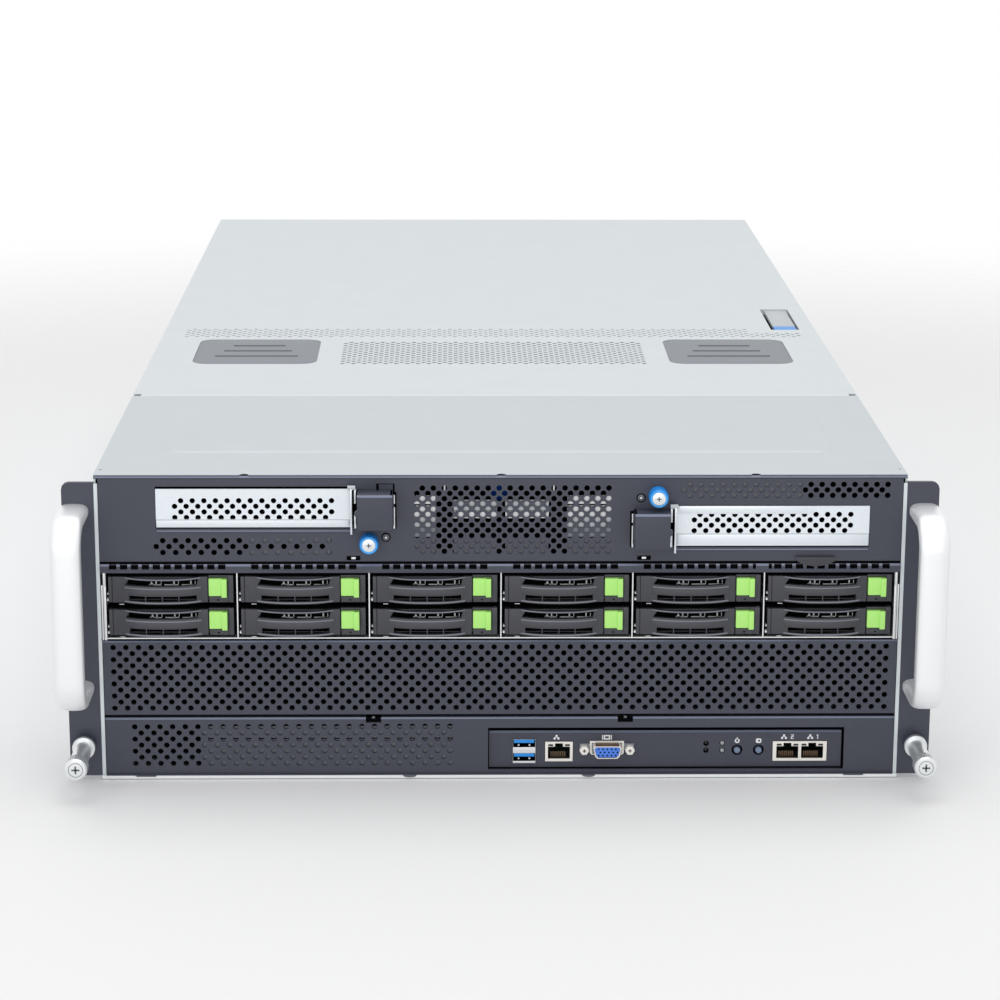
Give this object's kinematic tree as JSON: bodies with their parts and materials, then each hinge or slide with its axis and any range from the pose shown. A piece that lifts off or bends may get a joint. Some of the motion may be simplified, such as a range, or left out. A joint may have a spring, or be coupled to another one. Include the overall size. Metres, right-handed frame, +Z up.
{
  "type": "rack server",
  "caption": "Rack-mount server, four units high, with hot-swap drive carriers, perforated front panels, slot covers, bow handles and a sliding lid.",
  "frame": {"origin": "under the middle of the front panels: on the underside, in the plane of the panels' front faces", "axes": "+X right seen from the front, +Y from the front to the rear, +Z up"},
  "size_m": [0.4826, 0.9648, 0.1755],
  "materials": {
    "galvanised": "satin galvanised sheet",
    "bright_steel": "bright plated steel",
    "slate_paint": "fine textured powder coat",
    "brushed_aluminium": "brushed and clear anodised",
    "black_plastic": "fine moulded texture",
    "green_plastic": "moulded",
    "blue_plastic": "moulded, knurled",
    "grey_plastic": "moulded",
    "socket_metal": "plated shell",
    "board": "solder mask",
    "supply_case": "plain sheet case"
  },
  "bodies": {
    "chassis": {"chassis_tub": "galvanised", "front_top_cover": "galvanised", "upper_front_panel": "slate_paint", "slot_covers": "bright_steel", "drive_cage": "galvanised", "middle_grille": "slate_paint", "lower_front_panel": "slate_paint", "io_ports": "socket_metal", "rack_ears": "slate_paint", "ear_handles": "brushed_aluminium", "main_board": "board", "fan_modules": "black_plastic"},
    "top_lid": {"top_lid": "galvanised"},
    "lid_latch": {"lid_latch": "grey_plastic"},
    "slot_latch_left": {"slot_latch_left": "slate_paint"},
    "slot_latch_right": {"slot_latch_right": "slate_paint"},
    "panel_screw_left": {"panel_screw_left": "blue_plastic"},
    "panel_screw_right": {"panel_screw_right": "blue_plastic"},
    "rack_screw_left": {"rack_screw_left": "bright_steel"},
    "rack_screw_right": {"rack_screw_right": "bright_steel"},
    "power_button": {"power_button": "grey_plastic"},
    "id_button": {"id_button": "grey_plastic"},
    "power_supply_1": {"power_supply_1": "supply_case"},
    "power_supply_2": {"power_supply_2": "supply_case"},
    "drive_carrier_01": {"drive_carrier_01": "black_plastic"},
    "carrier_lever_01": {"carrier_lever_01": "black_plastic"},
    "carrier_release_01": {"carrier_release_01": "green_plastic"},
    "drive_carrier_02": {"drive_carrier_02": "black_plastic"},
    "carrier_lever_02": {"carrier_lever_02": "black_plastic"},
    "carrier_release_02": {"carrier_release_02": "green_plastic"},
    "drive_carrier_03": {"drive_carrier_03": "black_plastic"},
    "carrier_lever_03": {"carrier_lever_03": "black_plastic"},
    "carrier_release_03": {"carrier_release_03": "green_plastic"},
    "drive_carrier_04": {"drive_carrier_04": "black_plastic"},
    "carrier_lever_04": {"carrier_lever_04": "black_plastic"},
    "carrier_release_04": {"carrier_release_04": "green_plastic"},
    "drive_carrier_05": {"drive_carrier_05": "black_plastic"},
    "carrier_lever_05": {"carrier_lever_05": "black_plastic"},
    "carrier_release_05": {"carrier_release_05": "green_plastic"},
    "drive_carrier_06": {"drive_carrier_06": "black_plastic"},
    "carrier_lever_06": {"carrier_lever_06": "black_plastic"},
    "carrier_release_06": {"carrier_release_06": "green_plastic"},
    "drive_carrier_07": {"drive_carrier_07": "black_plastic"},
    "carrier_lever_07": {"carrier_lever_07": "black_plastic"},
    "carrier_release_07": {"carrier_release_07": "green_plastic"},
    "drive_carrier_08": {"drive_carrier_08": "black_plastic"},
    "carrier_lever_08": {"carrier_lever_08": "black_plastic"},
    "carrier_release_08": {"carrier_release_08": "green_plastic"},
    "drive_carrier_09": {"drive_carrier_09": "black_plastic"},
    "carrier_lever_09": {"carrier_lever_09": "black_plastic"},
    "carrier_release_09": {"carrier_release_09": "green_plastic"},
    "drive_carrier_10": {"drive_carrier_10": "black_plastic"},
    "carrier_lever_10": {"carrier_lever_10": "black_plastic"},
    "carrier_release_10": {"carrier_release_10": "green_plastic"},
    "drive_carrier_11": {"drive_carrier_11": "black_plastic"},
    "carrier_lever_11": {"carrier_lever_11": "black_plastic"},
    "carrier_release_11": {"carrier_release_11": "green_plastic"},
    "drive_carrier_12": {"drive_carrier_12": "black_plastic"},
    "carrier_lever_12": {"carrier_lever_12": "black_plastic"},
    "carrier_release_12": {"carrier_release_12": "green_plastic"}
  },
  "joints": [
    {"name": "lid_slide", "type": "slide", "parent": "chassis", "child": "top_lid", "axis": [0, 1, 0], "range_m": [0, 0.015]},
    {"name": "lid_latch_lift", "type": "hinge", "parent": "top_lid", "child": "lid_latch", "pos_m": [0.20315, 0.4848, 0.1727], "axis": [-1, 0, 0], "range_deg": [0, 70]},
    {"name": "slot_latch_left_swing", "type": "hinge", "parent": "chassis", "child": "slot_latch_left", "pos_m": [-0.0578, -0.0026, 0.157], "axis": [0, 0, 1], "range_deg": [0, 95]},
    {"name": "panel_screw_left_turn", "type": "hinge", "parent": "chassis", "child": "panel_screw_left", "pos_m": [-0.0728, -0.004, 0.1376], "axis": [0, -1, 0], "continuous": true},
    {"name": "slot_latch_right_swing", "type": "hinge", "parent": "chassis", "child": "slot_latch_right", "pos_m": [0.0712, -0.0026, 0.1462], "axis": [0, 0, -1], "range_deg": [0, 95]},
    {"name": "panel_screw_right_turn", "type": "hinge", "parent": "chassis", "child": "panel_screw_right", "pos_m": [0.0862, -0.004, 0.1638], "axis": [0, -1, 0], "continuous": true},
    {"name": "rack_screw_left_turn", "type": "hinge", "parent": "chassis", "child": "rack_screw_left", "pos_m": [-0.23255, -0.02, 0.0208], "axis": [0, -1, 0], "continuous": true},
    {"name": "rack_screw_right_turn", "type": "hinge", "parent": "chassis", "child": "rack_screw_right", "pos_m": [0.23255, -0.02, 0.0208], "axis": [0, -1, 0], "continuous": true},
    {"name": "power_button_press", "type": "slide", "parent": "chassis", "child": "power_button", "axis": [0, 1, 0], "range_m": [0, 0.0012], "stiffness_N_per_m": 500},
    {"name": "id_button_press", "type": "slide", "parent": "chassis", "child": "id_button", "axis": [0, 1, 0], "range_m": [0, 0.0012], "stiffness_N_per_m": 500},
    {"name": "power_supply_1_slide", "type": "slide", "parent": "chassis", "child": "power_supply_1", "axis": [0, 1, 0], "range_m": [0, 0.18]},
    {"name": "power_supply_2_slide", "type": "slide", "parent": "chassis", "child": "power_supply_2", "axis": [0, 1, 0], "range_m": [0, 0.18]},
    {"name": "carrier_01_slide", "type": "slide", "parent": "chassis", "child": "drive_carrier_01", "axis": [0, -1, 0], "range_m": [0, 0.115]},
    {"name": "lever_01_swing", "type": "hinge", "parent": "drive_carrier_01", "child": "carrier_lever_01", "pos_m": [-0.2139, 0, 0.11075], "axis": [0, 0, -1], "range_deg": [0, 65]},
    {"name": "release_01_press", "type": "slide", "parent": "drive_carrier_01", "child": "carrier_release_01", "axis": [0, 1, 0], "range_m": [0, 0.0018], "stiffness_N_per_m": 600},
    {"name": "carrier_02_slide", "type": "slide", "parent": "chassis", "child": "drive_carrier_02", "axis": [0, -1, 0], "range_m": [0, 0.115]},
    {"name": "lever_02_swing", "type": "hinge", "parent": "drive_carrier_02", "child": "carrier_lever_02", "pos_m": [-0.1409, 0, 0.11075], "axis": [0, 0, -1], "range_deg": [0, 65]},
    {"name": "release_02_press", "type": "slide", "parent": "drive_carrier_02", "child": "carrier_release_02", "axis": [0, 1, 0], "range_m": [0, 0.0018], "stiffness_N_per_m": 600},
    {"name": "carrier_03_slide", "type": "slide", "parent": "chassis", "child": "drive_carrier_03", "axis": [0, -1, 0], "range_m": [0, 0.115]},
    {"name": "lever_03_swing", "type": "hinge", "parent": "drive_carrier_03", "child": "carrier_lever_03", "pos_m": [-0.0679, 0, 0.11075], "axis": [0, 0, -1], "range_deg": [0, 65]},
    {"name": "release_03_press", "type": "slide", "parent": "drive_carrier_03", "child": "carrier_release_03", "axis": [0, 1, 0], "range_m": [0, 0.0018], "stiffness_N_per_m": 600},
    {"name": "carrier_04_slide", "type": "slide", "parent": "chassis", "child": "drive_carrier_04", "axis": [0, -1, 0], "range_m": [0, 0.115]},
    {"name": "lever_04_swing", "type": "hinge", "parent": "drive_carrier_04", "child": "carrier_lever_04", "pos_m": [0.0051, 0, 0.11075], "axis": [0, 0, -1], "range_deg": [0, 65]},
    {"name": "release_04_press", "type": "slide", "parent": "drive_carrier_04", "child": "carrier_release_04", "axis": [0, 1, 0], "range_m": [0, 0.0018], "stiffness_N_per_m": 600},
    {"name": "carrier_05_slide", "type": "slide", "parent": "chassis", "child": "drive_carrier_05", "axis": [0, -1, 0], "range_m": [0, 0.115]},
    {"name": "lever_05_swing", "type": "hinge", "parent": "drive_carrier_05", "child": "carrier_lever_05", "pos_m": [0.0781, 0, 0.11075], "axis": [0, 0, -1], "range_deg": [0, 65]},
    {"name": "release_05_press", "type": "slide", "parent": "drive_carrier_05", "child": "carrier_release_05", "axis": [0, 1, 0], "range_m": [0, 0.0018], "stiffness_N_per_m": 600},
    {"name": "carrier_06_slide", "type": "slide", "parent": "chassis", "child": "drive_carrier_06", "axis": [0, -1, 0], "range_m": [0, 0.115]},
    {"name": "lever_06_swing", "type": "hinge", "parent": "drive_carrier_06", "child": "carrier_lever_06", "pos_m": [0.1511, 0, 0.11075], "axis": [0, 0, -1], "range_deg": [0, 65]},
    {"name": "release_06_press", "type": "slide", "parent": "drive_carrier_06", "child": "carrier_release_06", "axis": [0, 1, 0], "range_m": [0, 0.0018], "stiffness_N_per_m": 600},
    {"name": "carrier_07_slide", "type": "slide", "parent": "chassis", "child": "drive_carrier_07", "axis": [0, -1, 0], "range_m": [0, 0.115]},
    {"name": "lever_07_swing", "type": "hinge", "parent": "drive_carrier_07", "child": "carrier_lever_07", "pos_m": [-0.2139, 0, 0.09185], "axis": [0, 0, -1], "range_deg": [0, 65]},
    {"name": "release_07_press", "type": "slide", "parent": "drive_carrier_07", "child": "carrier_release_07", "axis": [0, 1, 0], "range_m": [0, 0.0018], "stiffness_N_per_m": 600},
    {"name": "carrier_08_slide", "type": "slide", "parent": "chassis", "child": "drive_carrier_08", "axis": [0, -1, 0], "range_m": [0, 0.115]},
    {"name": "lever_08_swing", "type": "hinge", "parent": "drive_carrier_08", "child": "carrier_lever_08", "pos_m": [-0.1409, 0, 0.09185], "axis": [0, 0, -1], "range_deg": [0, 65]},
    {"name": "release_08_press", "type": "slide", "parent": "drive_carrier_08", "child": "carrier_release_08", "axis": [0, 1, 0], "range_m": [0, 0.0018], "stiffness_N_per_m": 600},
    {"name": "carrier_09_slide", "type": "slide", "parent": "chassis", "child": "drive_carrier_09", "axis": [0, -1, 0], "range_m": [0, 0.115]},
    {"name": "lever_09_swing", "type": "hinge", "parent": "drive_carrier_09", "child": "carrier_lever_09", "pos_m": [-0.0679, 0, 0.09185], "axis": [0, 0, -1], "range_deg": [0, 65]},
    {"name": "release_09_press", "type": "slide", "parent": "drive_carrier_09", "child": "carrier_release_09", "axis": [0, 1, 0], "range_m": [0, 0.0018], "stiffness_N_per_m": 600},
    {"name": "carrier_10_slide", "type": "slide", "parent": "chassis", "child": "drive_carrier_10", "axis": [0, -1, 0], "range_m": [0, 0.115]},
    {"name": "lever_10_swing", "type": "hinge", "parent": "drive_carrier_10", "child": "carrier_lever_10", "pos_m": [0.0051, 0, 0.09185], "axis": [0, 0, -1], "range_deg": [0, 65]},
    {"name": "release_10_press", "type": "slide", "parent": "drive_carrier_10", "child": "carrier_release_10", "axis": [0, 1, 0], "range_m": [0, 0.0018], "stiffness_N_per_m": 600},
    {"name": "carrier_11_slide", "type": "slide", "parent": "chassis", "child": "drive_carrier_11", "axis": [0, -1, 0], "range_m": [0, 0.115]},
    {"name": "lever_11_swing", "type": "hinge", "parent": "drive_carrier_11", "child": "carrier_lever_11", "pos_m": [0.0781, 0, 0.09185], "axis": [0, 0, -1], "range_deg": [0, 65]},
    {"name": "release_11_press", "type": "slide", "parent": "drive_carrier_11", "child": "carrier_release_11", "axis": [0, 1, 0], "range_m": [0, 0.0018], "stiffness_N_per_m": 600},
    {"name": "carrier_12_slide", "type": "slide", "parent": "chassis", "child": "drive_carrier_12", "axis": [0, -1, 0], "range_m": [0, 0.115]},
    {"name": "lever_12_swing", "type": "hinge", "parent": "drive_carrier_12", "child": "carrier_lever_12", "pos_m": [0.1511, 0, 0.09185], "axis": [0, 0, -1], "range_deg": [0, 65]},
    {"name": "release_12_press", "type": "slide", "parent": "drive_carrier_12", "child": "carrier_release_12", "axis": [0, 1, 0], "range_m": [0, 0.0018], "stiffness_N_per_m": 600}
  ],
  "couplings": [
    {"joint": "lid_latch_lift", "follows": "lid_slide", "rad_per_m": 81.332}
  ]
}
